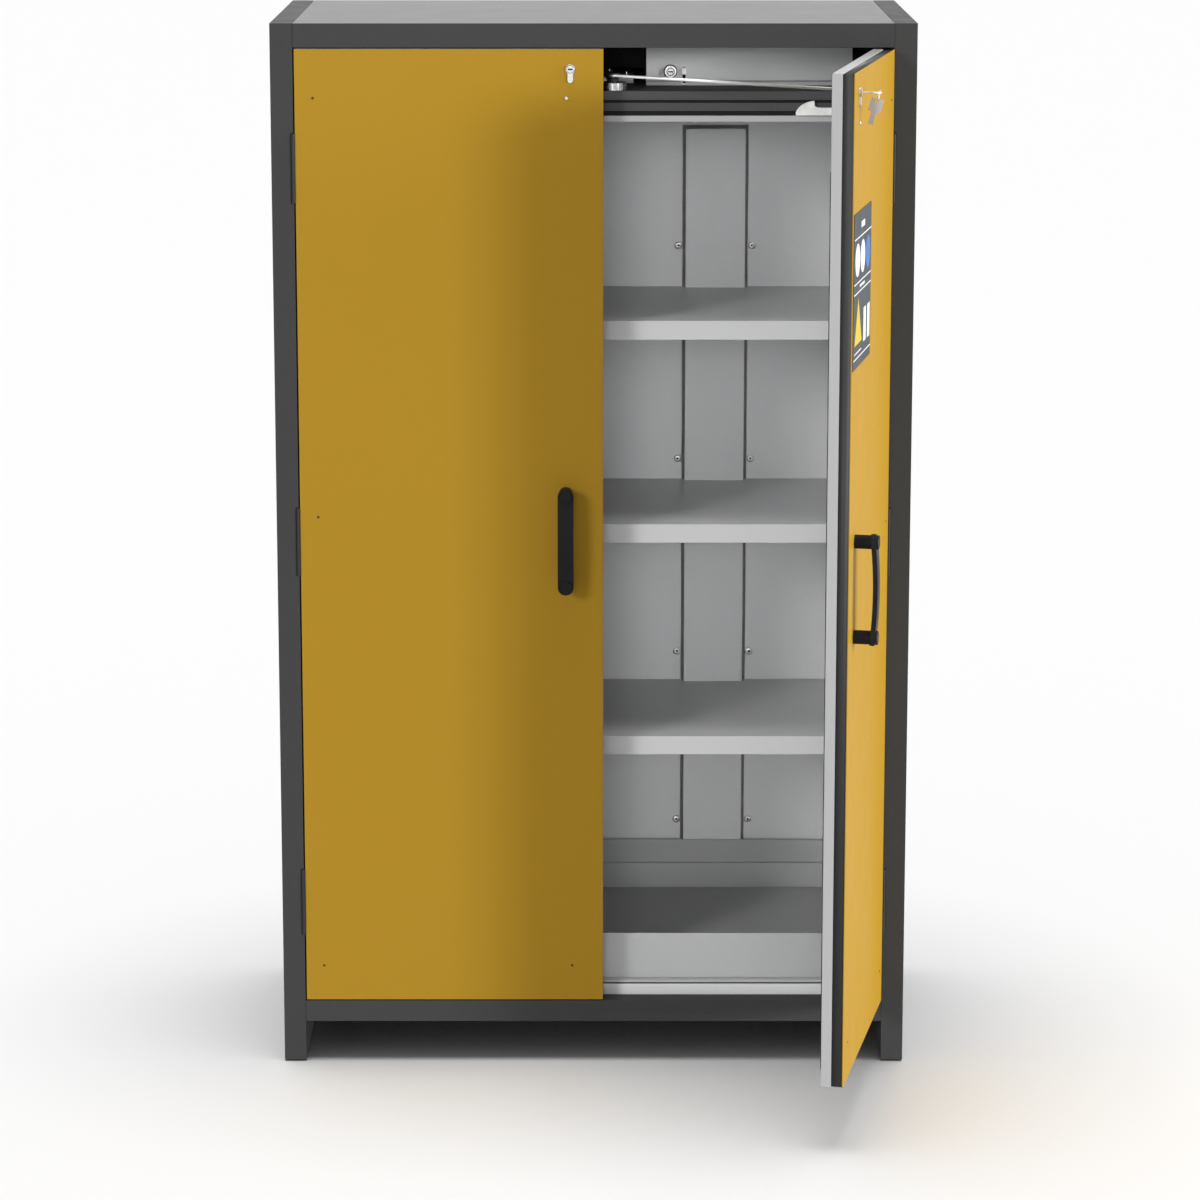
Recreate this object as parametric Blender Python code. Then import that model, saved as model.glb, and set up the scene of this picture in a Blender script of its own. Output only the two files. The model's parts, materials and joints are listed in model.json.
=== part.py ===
"""Flammable storage cabinet: two hinged doors, linings, shelves, sump tray and door closer.

Metres, +Z up. The cabinet frame used below has x to the right, y back from the closed door
fronts and z up from the floor. FRONT_Y then moves everything so that the cabinet, with its
right door standing open, is centred on the origin.
"""
import math

import bmesh
import bpy
from mathutils import Matrix, Vector

# Driving dimensions
WIDTH, DEPTH, HEIGHT = 1.164, 0.600, 1.948
PANEL = 0.0405              # side panel thickness
GAP = 0.0003                # between pieces that touch
FOOT = 0.003                # side panels stand this far off the floor
OPEN_ANGLE = math.radians(78.6)
DOOR_BOTTOM, DOOR_TOP = 0.1215, 1.902
MEETING_LEFT, MEETING_RIGHT = 0.0177, 0.0202    # free edges of the closed leaves
FACE_BACK, CORE_BACK, PAN_BACK = 0.0015, 0.0205, 0.039
AXIS_X, AXIS_Y = 0.5424, -0.001
HINGE_HEIGHTS = (0.312, 0.999, 1.687)
HINGE_TALL, BARREL, PIN, PIN_BORE = 0.126, 0.0034, 0.0014, 0.00175
SHELF_TOPS = (0.612, 1.017, 1.398)
DECK_TOP, ROOF_UNDER = 1.822, 1.912
FREE_TO_HANDLE, HANDLE_Z, HANDLE_TALL, HANDLE_WIDE = 0.0688, 1.005, 0.198, 0.029
FREE_TO_LOCK, LOCK_Z = 0.0595, 1.866
SPARE_TILT = math.radians(16)                   # the spare key leans towards the door
DUCT_X, DUCT_WIDE, DUCT_LOW, DUCT_HIGH = 0.2365, 0.1150, 0.283, 1.706
DUCT_GROOVE = 0.006                             # groove left open round a duct cover
KNOB_X, KNOB_Z, KNOB_RADIUS = 0.1414, 1.848, 0.0108
TAB_X, TAB_Z, TAB_TRAVEL = 0.1663, 1.8485, 0.016
SPINDLE = Vector((0.0300, 0.2500))
ARM_LONG, ROD_LONG = 0.1741, 0.4971             # closer arm and rod, pivot to pivot
BRACKET = Vector((-0.2247, 0.0570))             # rod pivot from the right hinge axis, door closed
ROD_Z = 1.848
SHEET = 0.0015                                  # folded sheet steel

INNER = WIDTH / 2 - PANEL                       # inner face of a side panel
FIT = INNER - GAP                               # half width of pieces between the side panels
LINING = 0.0162
CLEAR = FIT - LINING - GAP                      # half width of pieces between the side linings
DOOR_EDGE = INNER - 0.0028                      # hinge edge of a door leaf
REACH = (AXIS_X - MEETING_RIGHT) * math.sin(OPEN_ANGLE) - AXIS_Y + AXIS_Y * math.cos(OPEN_ANGLE)
FRONT_Y = (REACH - DEPTH) / 2

for old in list(bpy.data.objects):
    bpy.data.objects.remove(old, do_unlink=True)
PARTS = bpy.data.collections.new("storage_cabinet")
CUTTERS = bpy.data.collections.new("cutters")
bpy.context.scene.collection.children.link(PARTS)
bpy.context.scene.collection.children.link(CUTTERS)

# colour, roughness, metallic
YELLOW = ((0.60, 0.36, 0.03), 0.35, 0.0)
FRAME_GREY = ((0.09, 0.09, 0.095), 0.45, 0.0)
LIGHT_GREY = ((0.55, 0.56, 0.56), 0.40, 0.0)
DARK = ((0.03, 0.03, 0.03), 0.60, 0.0)
BLACK = ((0.012, 0.012, 0.012), 0.50, 0.0)
STEEL = ((0.60, 0.60, 0.60), 0.28, 1.0)
HINGE_STEEL = ((0.12, 0.12, 0.12), 0.40, 1.0)
WHITE = ((0.75, 0.75, 0.73), 0.45, 0.0)


# Modelling helpers

def add_piece(name, bm, finish=None):
    """Make an object of a bmesh; without a finish it is a cutter or a shape to be joined on."""
    mesh = bpy.data.meshes.new(name)
    bm.to_mesh(mesh)
    bm.free()
    mesh.transform(Matrix.Translation((0, FRONT_Y, 0)))
    piece = bpy.data.objects.new(name, mesh)
    if finish is None:
        CUTTERS.objects.link(piece)
        piece.hide_render = True
        piece.display_type = "WIRE"
        return piece
    PARTS.objects.link(piece)
    colour, roughness, metallic = finish
    material = bpy.data.materials.new(name)
    material.use_nodes = True
    shader = material.node_tree.nodes["Principled BSDF"]
    shader.inputs["Base Color"].default_value = (*colour, 1)
    shader.inputs["Roughness"].default_value = roughness
    shader.inputs["Metallic"].default_value = metallic
    mesh.materials.append(material)
    mesh.shade_smooth()
    mesh.set_sharp_from_angle(angle=math.radians(30))
    return piece


def put_box(bm, x, y, z):
    centre = Vector((sum(x) / 2, sum(y) / 2, sum(z) / 2))
    size = Vector((x[1] - x[0], y[1] - y[0], z[1] - z[0]))
    bmesh.ops.create_cube(bm, size=1, matrix=Matrix.LocRotScale(centre, None, size))


TURNS = {"X": Matrix.Rotation(math.pi / 2, 4, "Y"), "Y": Matrix.Rotation(math.pi / 2, 4, "X"),
         "Z": Matrix.Identity(4)}


def put_rod(bm, axis, centre, span, radius, sides=24):
    """A cylinder along axis; centre has the two other coordinates, in x, y, z order."""
    where = list(centre)
    where.insert("XYZ".index(axis), sum(span) / 2)
    bmesh.ops.create_cone(bm, cap_ends=True, segments=sides, radius1=radius, radius2=radius,
                          depth=span[1] - span[0], matrix=Matrix.Translation(where) @ TURNS[axis])


def boxes(name, spans, finish=None):
    bm = bmesh.new()
    for x, y, z in spans:
        put_box(bm, x, y, z)
    return add_piece(name, bm, finish)


def box(name, x, y, z, finish=None):
    return boxes(name, [(x, y, z)], finish)


def rods(name, axis, centres, span, radius, finish=None, sides=24):
    bm = bmesh.new()
    for centre in centres:
        put_rod(bm, axis, centre, span, radius, sides)
    return add_piece(name, bm, finish)


def change(piece, other, operation):
    step = piece.modifiers.new(other.name, "BOOLEAN")
    step.operation = operation
    step.solver = "EXACT"
    step.object = other
    return piece


def cut(piece, *others):
    for other in others:
        change(piece, other, "DIFFERENCE")
    return piece


def join(piece, *others):
    for other in others:
        change(piece, other, "UNION")
    return piece


def outline(name, axis, points, span, finish=None):
    """A flat closed outline extruded along axis. Points hold the other two coordinates."""
    curve = bpy.data.curves.new(name, "CURVE")
    curve.dimensions = "2D"
    curve.fill_mode = "BOTH"
    curve.extrude = (span[1] - span[0]) / 2
    spline = curve.splines.new("POLY")
    spline.points.add(len(points) - 1)
    for knot, (u, v) in zip(spline.points, points):
        knot.co = (u, v, 0, 1)
    spline.use_cyclic_u = True
    holder = bpy.data.objects.new(name + "_curve", curve)
    CUTTERS.objects.link(holder)
    graph = bpy.context.evaluated_depsgraph_get()
    mesh = bpy.data.meshes.new_from_object(holder.evaluated_get(graph))
    bpy.data.objects.remove(holder, do_unlink=True)
    bm = bmesh.new()
    bm.from_mesh(mesh)
    bmesh.ops.remove_doubles(bm, verts=bm.verts, dist=0.00001)
    middle = sum(span) / 2
    frames = {"X": Matrix(((0, 0, 1, middle), (1, 0, 0, 0), (0, 1, 0, 0), (0, 0, 0, 1))),
              "Y": Matrix(((1, 0, 0, 0), (0, 0, -1, middle), (0, 1, 0, 0), (0, 0, 0, 1))),
              "Z": Matrix.Translation((0, 0, middle))}
    bm.transform(frames[axis])
    bmesh.ops.recalc_face_normals(bm, faces=bm.faces)
    bpy.data.meshes.remove(mesh)
    return add_piece(name, bm, finish)


def arc(centre, radius, start, end, count):
    """Points along an arc; the angles are in degrees, anticlockwise from the first axis."""
    steps = [math.radians(start + (end - start) * i / count) for i in range(count + 1)]
    return [(centre[0] + radius * math.cos(a), centre[1] + radius * math.sin(a)) for a in steps]


def folded(path, thick):
    """The closed outline of a bent sheet whose one side follows path, thickened to its left."""
    sides = []
    for (u0, v0), (u1, v1) in zip(path, path[1:]):
        long = math.hypot(u1 - u0, v1 - v0)
        sides.append((-(v1 - v0) / long, (u1 - u0) / long))
    corners = []
    for i, (u, v) in enumerate(path):
        a = sides[max(i - 1, 0)]
        b = sides[min(i, len(sides) - 1)]
        scale = thick / (1 + a[0] * b[0] + a[1] * b[1])
        corners.append((u + (a[0] + b[0]) * scale, v + (a[1] + b[1]) * scale))
    return path + corners[::-1]


# Pivots: an empty on each joint's axis

PLACES = {}


def pivot(name, place, parent=None):
    empty = bpy.data.objects.new(name, None)
    PARTS.objects.link(empty)
    empty.location = Vector(place) + Vector((0, FRONT_Y, 0))
    PLACES[name] = empty.location.copy()
    if parent:
        hang(parent, empty)
    return empty


def hang(parent, *pieces):
    """Parent pieces to a pivot, together with the shapes that are cut from them or joined on."""
    for piece in pieces:
        piece.parent = parent
        piece.matrix_parent_inverse = Matrix.Translation(-PLACES[parent.name])
        hang(parent, *[step.object for step in piece.modifiers if step.type == "BOOLEAN"])


# Carcass

def mirrored(span, side):
    """A span of x on the right (side 1), or its mirror image on the left (side -1)."""
    return span if side > 0 else (-span[1], -span[0])


def side_panel(name, side):
    panel = box(name, mirrored((INNER, WIDTH / 2), side), (0, DEPTH), (FOOT, HEIGHT), FRAME_GREY)
    notch = boxes(name + "_hinge_notches", [
        (mirrored((INNER - 0.005, INNER + 0.005), side), (-0.01, 0.0042),
         (z - HINGE_TALL / 2 - 0.001, z + HINGE_TALL / 2 + 0.001)) for z in HINGE_HEIGHTS])
    middle = side * (WIDTH - PANEL) / 2
    bores = rods(name + "_foot_bores", "Z", [(middle, y) for y in (0.045, DEPTH - 0.045)],
                 (-0.01, 0.034), 0.0056)
    return cut(panel, notch, bores)


def levelling_feet():
    feet = [(side * (WIDTH - PANEL) / 2, y) for side in (-1, 1) for y in (0.045, DEPTH - 0.045)]
    for number, place in enumerate(feet, 1):
        foot = rods(f"levelling_foot_{number}", "Z", [place], (0, FOOT - GAP), 0.017, BLACK)
        join(foot, rods(f"foot_stud_{number}", "Z", [place], (0.001, 0.030), 0.005))


def carcass():
    side_panel("side_panel_left", -1)
    side_panel("side_panel_right", 1)
    levelling_feet()
    outline("roof_panel", "X", [(0, 1.9045), (0.038, 1.9045), (0.038, ROOF_UNDER), (DEPTH, ROOF_UNDER),
                                (DEPTH, HEIGHT), (0, HEIGHT)], (-FIT, FIT), FRAME_GREY)
    box("bottom_rail", (-FIT, FIT), (0, 0.038), (0.0785, 0.1195), FRAME_GREY)
    box("floor_panel", (-FIT, FIT), (0.0383, DEPTH), (0.0785, 0.116), FRAME_GREY)
    box("back_panel", (-FIT, FIT), (0.560, DEPTH), (0.1163, ROOF_UNDER - GAP), FRAME_GREY)


def linings():
    edge = DUCT_WIDE / 2 + DUCT_GROOVE
    for side, name in ((-1, "lining_left"), (1, "lining_right")):
        box(name, mirrored((FIT - LINING, FIT), side), (0.050, 0.5597), (0.1163, 1.8057), LIGHT_GREY)
    back = box("lining_back", (-CLEAR, CLEAR), (0.544, 0.5597), (0.1163, 1.7857), LIGHT_GREY)
    grooves = boxes("duct_grooves", [
        ((x - edge, x + edge), (0.53, 0.548), (DUCT_LOW - DUCT_GROOVE, DUCT_HIGH + DUCT_GROOVE))
        for x in (-DUCT_X, DUCT_X)])
    cut(back, grooves)
    box("lining_ceiling", (-CLEAR, CLEAR), (0.050, 0.5437), (1.7665, 1.7777), LIGHT_GREY)
    box("ceiling_board", (-CLEAR, CLEAR), (0.050, 0.5597), (1.786, 1.801), DARK)
    box("mechanism_deck", (-FIT, FIT), (0.050, 0.5597), (1.806, DECK_TOP), DARK)
    box("lining_floor", (-CLEAR, CLEAR), (0.042, 0.5437), (0.1163, 0.1384), LIGHT_GREY)


def duct_cover(name, x):
    half, corner = DUCT_WIDE / 2, 0.005
    points = [(x - half, DUCT_LOW), (x + half, DUCT_LOW)]
    points += arc((x + half - corner, DUCT_HIGH - corner), corner, 0, 90, 6)
    points += arc((x - half + corner, DUCT_HIGH - corner), corner, 90, 180, 6)
    outline(name, "Y", points, (0.529, 0.5477), LIGHT_GREY)


def shelf(name, top):
    """A folded tray, open below, notched at the rear for the duct covers."""
    front, rear, half, tall = 0.076, 0.5434, 0.5185, 0.035
    body = box(name, (-half, half), (front, rear), (top - tall, top), LIGHT_GREY)
    hollow = box(name + "_hollow", (-half + SHEET, half - SHEET), (front + SHEET, rear - SHEET),
                 (top - tall - 0.01, top - SHEET))
    notch = DUCT_WIDE / 2 + 0.003
    notches = boxes(name + "_notches", [((x - notch, x + notch), (0.526, 0.56), (top - 0.06, top + 0.02))
                                        for x in (-DUCT_X, DUCT_X)])
    cut(body, hollow, notches)


def sump():
    """The spill tray, and the bent, perforated sheet that covers its bottom and back."""
    half, front, rear, low, high = 0.520, 0.060, 0.5240, 0.1455, 0.233
    tray = box("sump_tray", (-half, half), (front, rear), (low, high), LIGHT_GREY)
    cut(tray, box("tray_hollow", (-half + SHEET, half - SHEET), (front + SHEET, rear - SHEET),
                  (low + SHEET, high + 0.02)))
    path = [(0.0625, 0.1476), (0.0625, 0.1900), (0.5205, 0.1900), (0.5205, 0.2400), (0.5270, 0.2400),
            (0.5270, 0.2870)]
    insert = outline("sump_insert", "X", folded(path, -SHEET), (-0.517, 0.517), LIGHT_GREY)
    holes = [(side * 0.245 + offset, y) for side in (-1, 1) for offset in (-0.006, 0.006)
             for y in (0.27, 0.38, 0.49)]
    cut(insert, rods("insert_holes", "Z", holes, (0.18, 0.20), 0.003, sides=12))


def housing():
    """The cover of the door release, with a bore for its knob and a slot for the hold-open tab."""
    x, y, z = (0.0968, 0.4756), (0.166, 0.500), (DECK_TOP + GAP, 1.905)
    front = y[0]
    cover = box("mechanism_housing", x, y, z, LIGHT_GREY)
    hollow = box("housing_hollow", (x[0] + SHEET, x[1] - SHEET), (y[0] + SHEET, y[1] - SHEET),
                 (z[0] - 0.01, z[1] - SHEET))
    bore = rods("knob_bore", "Y", [(KNOB_X, KNOB_Z)], (front - 0.01, front + 0.01), 0.0045)
    slot = box("tab_slot", (TAB_X - 0.0025, TAB_X + 0.0025), (front - 0.01, front + 0.01),
               (TAB_Z - TAB_TRAVEL - 0.006, TAB_Z + 0.0075))
    cut(cover, hollow, bore, slot)
    knob = rods("release_knob", "Y", [(KNOB_X, KNOB_Z)], (front - 0.0095, front - 0.0005), KNOB_RADIUS, STEEL,
                sides=32)
    join(knob, rods("knob_shaft", "Y", [(KNOB_X, KNOB_Z)], (front - 0.006, front + 0.0085), 0.004))
    cut(knob, box("knob_slot", (KNOB_X - 0.005, KNOB_X + 0.005), (front - 0.011, front - 0.0085),
                  (KNOB_Z - 0.0012, KNOB_Z + 0.0012)))
    tab = box("hold_open_tab", (TAB_X - 0.0038, TAB_X + 0.0038), (front - 0.0055, front - 0.0005),
              (TAB_Z - 0.00575, TAB_Z + 0.00575), WHITE)
    join(tab, box("tab_stem", (TAB_X - 0.002, TAB_X + 0.002), (front - 0.003, front + 0.008),
                  (TAB_Z - 0.002, TAB_Z + 0.002)))
    hang(pivot("knob_pivot", (KNOB_X, front, KNOB_Z)), knob)
    hang(pivot("tab_pivot", (TAB_X, front, TAB_Z)), tab)


# Doors

def hinge(end, number, z, door_pivot):
    """One butt hinge: the pin is riveted into the frame leaf, and the door leaf turns on it."""
    side = 1 if end == "right" else -1
    axis = [(side * AXIS_X, AXIS_Y)]
    low, high = z - HINGE_TALL / 2, z + HINGE_TALL / 2
    knuckle_low, knuckle_high = z - HINGE_TALL / 6, z + HINGE_TALL / 6
    frame_knuckles = ((low, knuckle_low - GAP), (knuckle_high + GAP, high))
    door_knuckles = ((knuckle_low, knuckle_high),)
    for kind, inner, knuckles in (("frame", 0.5403, frame_knuckles), ("door", 0.5390, door_knuckles)):
        name = f"hinge_{kind}_leaf_{end}_{number}"
        x = mirrored((inner, inner + 0.0009), side)
        leaf = box(name, x, (0.0035, 0.028), (low, high), HINGE_STEEL)
        for place, span in enumerate(knuckles):
            join(leaf, box(f"{name}_tab_{place}", x, (0.0, 0.005), span),
                 rods(f"{name}_knuckle_{place}", "Z", axis, span, BARREL, sides=20))
        if kind == "door":
            cut(leaf, rods(f"{name}_bore", "Z", axis, (low, high), PIN_BORE, sides=16))
            hang(door_pivot, leaf)
        else:
            join(leaf, rods(f"{name}_pin", "Z", axis, (low + 0.001, high - 0.001), PIN, sides=16))


def handle(name, x):
    """A bow handle: an arched bar with rounded ends on two round feet."""
    half, out, bar, rise = HANDLE_TALL / 2, 0.037, 0.0085, 0.006
    radius = (half ** 2 + rise ** 2) / (2 * rise)
    swing = math.degrees(math.asin(half / radius))
    middle = (-(out + rise) + radius, HANDLE_Z)
    points = arc(middle, radius, 180 + swing, 180 - swing, 16)
    points += arc(middle, radius - bar, 180 - swing, 180 + swing, 16)
    bow = outline(name, "X", points, (x - HANDLE_WIDE / 2, x + HANDLE_WIDE / 2), BLACK)
    end = HANDLE_WIDE / 2
    stadium = arc((x, HANDLE_Z + half - end), end, 0, 180, 12)
    stadium += arc((x, HANDLE_Z - half + end), end, 180, 360, 12)
    change(bow, outline(name + "_stadium", "Y", stadium, (-0.08, 0.02)), "INTERSECT")
    feet = [(x, HANDLE_Z + side * (half - end)) for side in (-1, 1)]
    return join(bow, rods(name + "_feet", "Y", feet, (-0.0340, -GAP), 0.0122, sides=28))


def lock_shape(name, x, span, spare, finish=None):
    """A profile cylinder: a round top with the plug, and a narrower lobe below it."""
    shape = rods(name, "Y", [(x, LOCK_Z)], span, 0.0085 + spare, finish, sides=28)
    web = box(name + "_web", (x - 0.005 - spare, x + 0.005 + spare), span, (LOCK_Z - 0.0195, LOCK_Z - 0.002))
    lobe = rods(name + "_lobe", "Y", [(x, LOCK_Z - 0.0195)], span, 0.005 + spare)
    return join(shape, web, lobe)


def lock(end, x, door_pivot):
    body = lock_shape(f"lock_cylinder_{end}", x, (-0.003, 0.0200), 0, STEEL)
    cut(body, rods(f"plug_bore_{end}", "Y", [(x, LOCK_Z)], (-0.01, 0.015), 0.0070, sides=28))
    plug = rods(f"lock_plug_{end}", "Y", [(x, LOCK_Z)], (-0.0040, 0.0145), 0.0066, STEEL, sides=28)
    cut(plug, box(f"keyway_{end}", (x - 0.0045, x + 0.0045), (-0.01, 0.012),
                  (LOCK_Z - 0.0014, LOCK_Z + 0.0014)))
    plug_pivot = pivot(f"plug_pivot_{end}", (x, 0, LOCK_Z), door_pivot)
    hang(door_pivot, body)
    hang(plug_pivot, plug)
    return plug_pivot


def keys(x, plug_pivot):
    """The key lies flat in the right lock, and a spare key hangs from its bow on a ring."""
    half, bow, hole = 0.0011, 0.011, 0.003         # half thickness, bow radius, hole radius
    bow_y, hole_y = -0.0275, -0.0335
    key = rods("key", "Z", [(x, bow_y)], (LOCK_Z - half, LOCK_Z + half), bow, STEEL, sides=28)
    join(key, box("key_blade", (x - 0.004, x + 0.004), (bow_y + 0.008, 0.010),
                  (LOCK_Z - half, LOCK_Z + half)))
    cut(key, rods("key_hole", "Z", [(x, hole_y)], (LOCK_Z - 0.01, LOCK_Z + 0.01), hole, sides=16))

    ring, wire = 0.009, 0.0008
    ring_x, ring_z = x + 0.0063, LOCK_Z - 0.0056   # through the hole and round the side of the bow
    bm = bmesh.new()
    bmesh.ops.create_circle(bm, segments=8, radius=wire,
                            matrix=Matrix.Translation((ring_x + ring, hole_y, ring_z)))
    bmesh.ops.spin(bm, geom=bm.verts[:] + bm.edges[:], cent=(ring_x, hole_y, ring_z), axis=(0, 1, 0),
                   angle=math.tau, steps=32, use_merge=True)
    bmesh.ops.remove_doubles(bm, verts=bm.verts, dist=0.00001)
    bmesh.ops.recalc_face_normals(bm, faces=bm.faces)
    loop = add_piece("key_ring", bm, STEEL)

    top = ring_z - ring - (hole - wire - GAP)      # centre of the spare key's hole
    thick = (ring_x - half, ring_x + half)
    spare = box("spare_key", thick, (hole_y - 0.0105, hole_y + 0.0105), (top - 0.0180, top + 0.0045), STEEL)
    join(spare, box("spare_blade", thick, (hole_y - 0.004, hole_y + 0.004), (top - 0.040, top - 0.010)))
    cut(spare, rods("spare_hole", "X", [(hole_y, top)], (ring_x - 0.01, ring_x + 0.01), hole, sides=16))

    hang(plug_pivot, key)
    spare_pivot = pivot("spare_pivot", (x, hole_y, LOCK_Z), plug_pivot)
    hang(spare_pivot, loop, spare)
    spare_pivot.rotation_euler.x = SPARE_TILT


def door(end, hinge_edge, free_edge, door_pivot):
    """One leaf: outer sheet, core and inner pan, with its handle, lock and hinges."""
    side = 1 if end == "right" else -1
    wide = (min(hinge_edge, free_edge), max(hinge_edge, free_edge))
    tall = (DOOR_BOTTOM, DOOR_TOP)
    lock_x = free_edge + side * FREE_TO_LOCK
    face = box(f"door_face_{end}", wide, (0, FACE_BACK), tall, YELLOW)
    core = box(f"door_core_{end}", (wide[0] + 0.0015, wide[1] - 0.0015), (FACE_BACK + GAP, CORE_BACK),
               (tall[0] + 0.0015, tall[1] - 0.0015), DARK)
    pan = box(f"door_pan_{end}", wide, (CORE_BACK + GAP, PAN_BACK), tall, LIGHT_GREY)
    hole = lock_shape(f"lock_hole_{end}", lock_x, (-0.01, 0.0206), GAP)
    cut(face, hole)
    cut(core, hole)
    hang(door_pivot, face, core, pan, handle(f"handle_{end}", free_edge + side * FREE_TO_HANDLE))
    return lock(end, lock_x, door_pivot), lock_x


# Door closer

def arm_angle(bracket):
    """The closer arm's angle about its spindle when the rod's door end is at bracket."""
    span = bracket - SPINDLE
    spread = math.acos((ARM_LONG ** 2 + span.length ** 2 - ROD_LONG ** 2) / (2 * ARM_LONG * span.length))
    return math.atan2(span.y, span.x) - spread


def closer(door_pivot):
    """Arm and rod are drawn along +x from their pivots, then turned to the open door's pose."""
    hinge = Vector((AXIS_X, AXIS_Y))
    turned = Matrix.Rotation(OPEN_ANGLE, 2) @ BRACKET
    bracket_open, bracket_shut = hinge + turned, hinge + BRACKET
    arm_turn = arm_angle(bracket_open)
    elbow = SPINDLE + ARM_LONG * Vector((math.cos(arm_turn), math.sin(arm_turn)))
    rod_turn = math.atan2(elbow.y - bracket_open.y, elbow.x - bracket_open.x) - OPEN_ANGLE

    x, y = SPINDLE
    body = box("closer_body", (x - 0.1240, x + 0.0440), (y - 0.035, y + 0.040), (DECK_TOP + GAP, 1.835),
               LIGHT_GREY)
    cut(body, rods("spindle_bore", "Z", [(x, y)], (1.827, 1.84), 0.0066))
    stadium = arc((x + ARM_LONG, y), 0.010, -90, 90, 10) + arc((x, y), 0.012, 90, 270, 10)
    arm = outline("closer_arm", "Z", stadium, (1.8365, 1.8425), HINGE_STEEL)
    join(arm, rods("closer_spindle", "Z", [(x, y)], (1.8273, 1.837), 0.0063),
         rods("closer_post", "Z", [(x + ARM_LONG, y)], (1.842, 1.8447), 0.0045))
    roller = rods("closer_roller", "Z", [(x + ARM_LONG, y)], (DECK_TOP + 2 * GAP, 1.8362), 0.0250, STEEL,
                  sides=40)
    arm_pivot = pivot("arm_pivot", (x, y, ROD_Z))
    hang(arm_pivot, arm, roller)
    arm_pivot.rotation_euler.z = arm_turn

    x, y = bracket_shut
    plate = box("closer_bracket", (x - 0.020, x + 0.020), (PAN_BACK + GAP, 0.0420), (1.834, 1.862), STEEL)
    join(plate, box("bracket_tongue", (x - 0.009, x + 0.009), (0.041, y + 0.009), (1.8385, 1.8445)),
         rods("bracket_pin", "Z", [(x, y)], (1.844, 1.8555), 0.0030))
    rod = rods("closer_rod", "X", [(y, ROD_Z)], (x + 0.006, x + ROD_LONG - 0.006), 0.00275, STEEL, sides=16)
    eyes = rods("rod_eyes", "Z", [(x, y), (x + ROD_LONG, y)], (ROD_Z - 0.0029, ROD_Z + 0.0029), 0.0080)
    cut(join(rod, eyes), rods("rod_bore", "Z", [(x, y)], (1.83, 1.87), 0.0034))
    rod_pivot = pivot("rod_pivot", (x, y, ROD_Z), door_pivot)
    hang(door_pivot, plate)
    hang(rod_pivot, rod)
    rod_pivot.rotation_euler.z = rod_turn


carcass()
linings()
duct_cover("duct_cover_left", -DUCT_X)
duct_cover("duct_cover_right", DUCT_X)
for number, height in enumerate(SHELF_TOPS, 1):
    shelf(f"shelf_{number}", height)
sump()
housing()

left_pivot = pivot("left_door_pivot", (-AXIS_X, AXIS_Y, 0))
right_pivot = pivot("right_door_pivot", (AXIS_X, AXIS_Y, 0))
for count, level in enumerate(HINGE_HEIGHTS, 1):
    hinge("left", count, level, left_pivot)
    hinge("right", count, level, right_pivot)
door("left", -DOOR_EDGE, MEETING_LEFT, left_pivot)
right_plug, right_lock_x = door("right", DOOR_EDGE, MEETING_RIGHT, right_pivot)
keys(right_lock_x, right_plug)
label = box("label_plate", (AXIS_X - 0.515, AXIS_X - 0.300), (-0.0013, -GAP), (1.395, 1.663), BLACK)
hang(right_pivot, label)
closer(right_pivot)
right_pivot.rotation_euler.z = OPEN_ANGLE
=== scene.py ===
"""Looks of the flammable storage cabinet: materials, small parts, lights and camera."""
import json
import math

import bmesh
import bpy
from mathutils import Matrix, Vector


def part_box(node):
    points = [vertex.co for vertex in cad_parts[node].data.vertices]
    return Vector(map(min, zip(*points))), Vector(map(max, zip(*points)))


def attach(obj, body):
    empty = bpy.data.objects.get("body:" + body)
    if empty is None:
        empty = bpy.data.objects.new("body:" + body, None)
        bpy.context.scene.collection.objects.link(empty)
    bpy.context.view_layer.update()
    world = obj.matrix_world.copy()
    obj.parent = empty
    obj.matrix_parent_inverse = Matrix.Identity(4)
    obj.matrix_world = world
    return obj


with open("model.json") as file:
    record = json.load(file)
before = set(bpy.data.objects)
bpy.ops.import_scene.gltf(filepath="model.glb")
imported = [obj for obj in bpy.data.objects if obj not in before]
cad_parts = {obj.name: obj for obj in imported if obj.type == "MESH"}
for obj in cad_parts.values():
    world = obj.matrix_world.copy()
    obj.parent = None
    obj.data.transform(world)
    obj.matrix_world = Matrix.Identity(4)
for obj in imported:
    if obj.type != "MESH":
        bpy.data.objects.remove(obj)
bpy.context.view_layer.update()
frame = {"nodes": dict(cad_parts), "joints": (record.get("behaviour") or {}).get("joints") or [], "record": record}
NODES = frame["nodes"]
JOINTS = {gap_shade["name"]: gap_shade for gap_shade in frame["joints"]}
LEAVES = (("left", "left_door", -1), ("right", "right_door", 1))     # end, body, side of the cabinet's middle

# The right door stands open at rest. SHUT_TO_OPEN carries a piece drawn on the shut door to where it rests.
HINGE = Vector(JOINTS["right_door_hinge"]["pos_m"])
OPEN_ANGLE = -math.radians(JOINTS["right_door_hinge"]["range_deg"][0])
SHUT_TO_OPEN = Matrix.Translation(HINGE) @ Matrix.Rotation(OPEN_ANGLE, 4, "Z") @ Matrix.Translation(-HINGE)
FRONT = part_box("side_panel_left")[0].y          # the plane of the shut doors' fronts


def shut_box(node):
    """The box of a node on the right door, with the door shut."""
    back = SHUT_TO_OPEN.inverted()
    points = [back @ vertex.co for vertex in NODES[node].data.vertices]
    low = Vector([min(p[i] for p in points) for i in range(3)])
    high = Vector([max(p[i] for p in points) for i in range(3)])
    return low, high


def leaf_box(node, end):
    """The box of a door's node with that door shut."""
    return shut_box(node) if end == "right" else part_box(node)


# Materials

def new_material(name):
    """A material, its node tree and its shader."""
    made = bpy.data.materials.new(name)
    made.use_nodes = True
    return made, made.node_tree, made.node_tree.nodes["Principled BSDF"]


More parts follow.
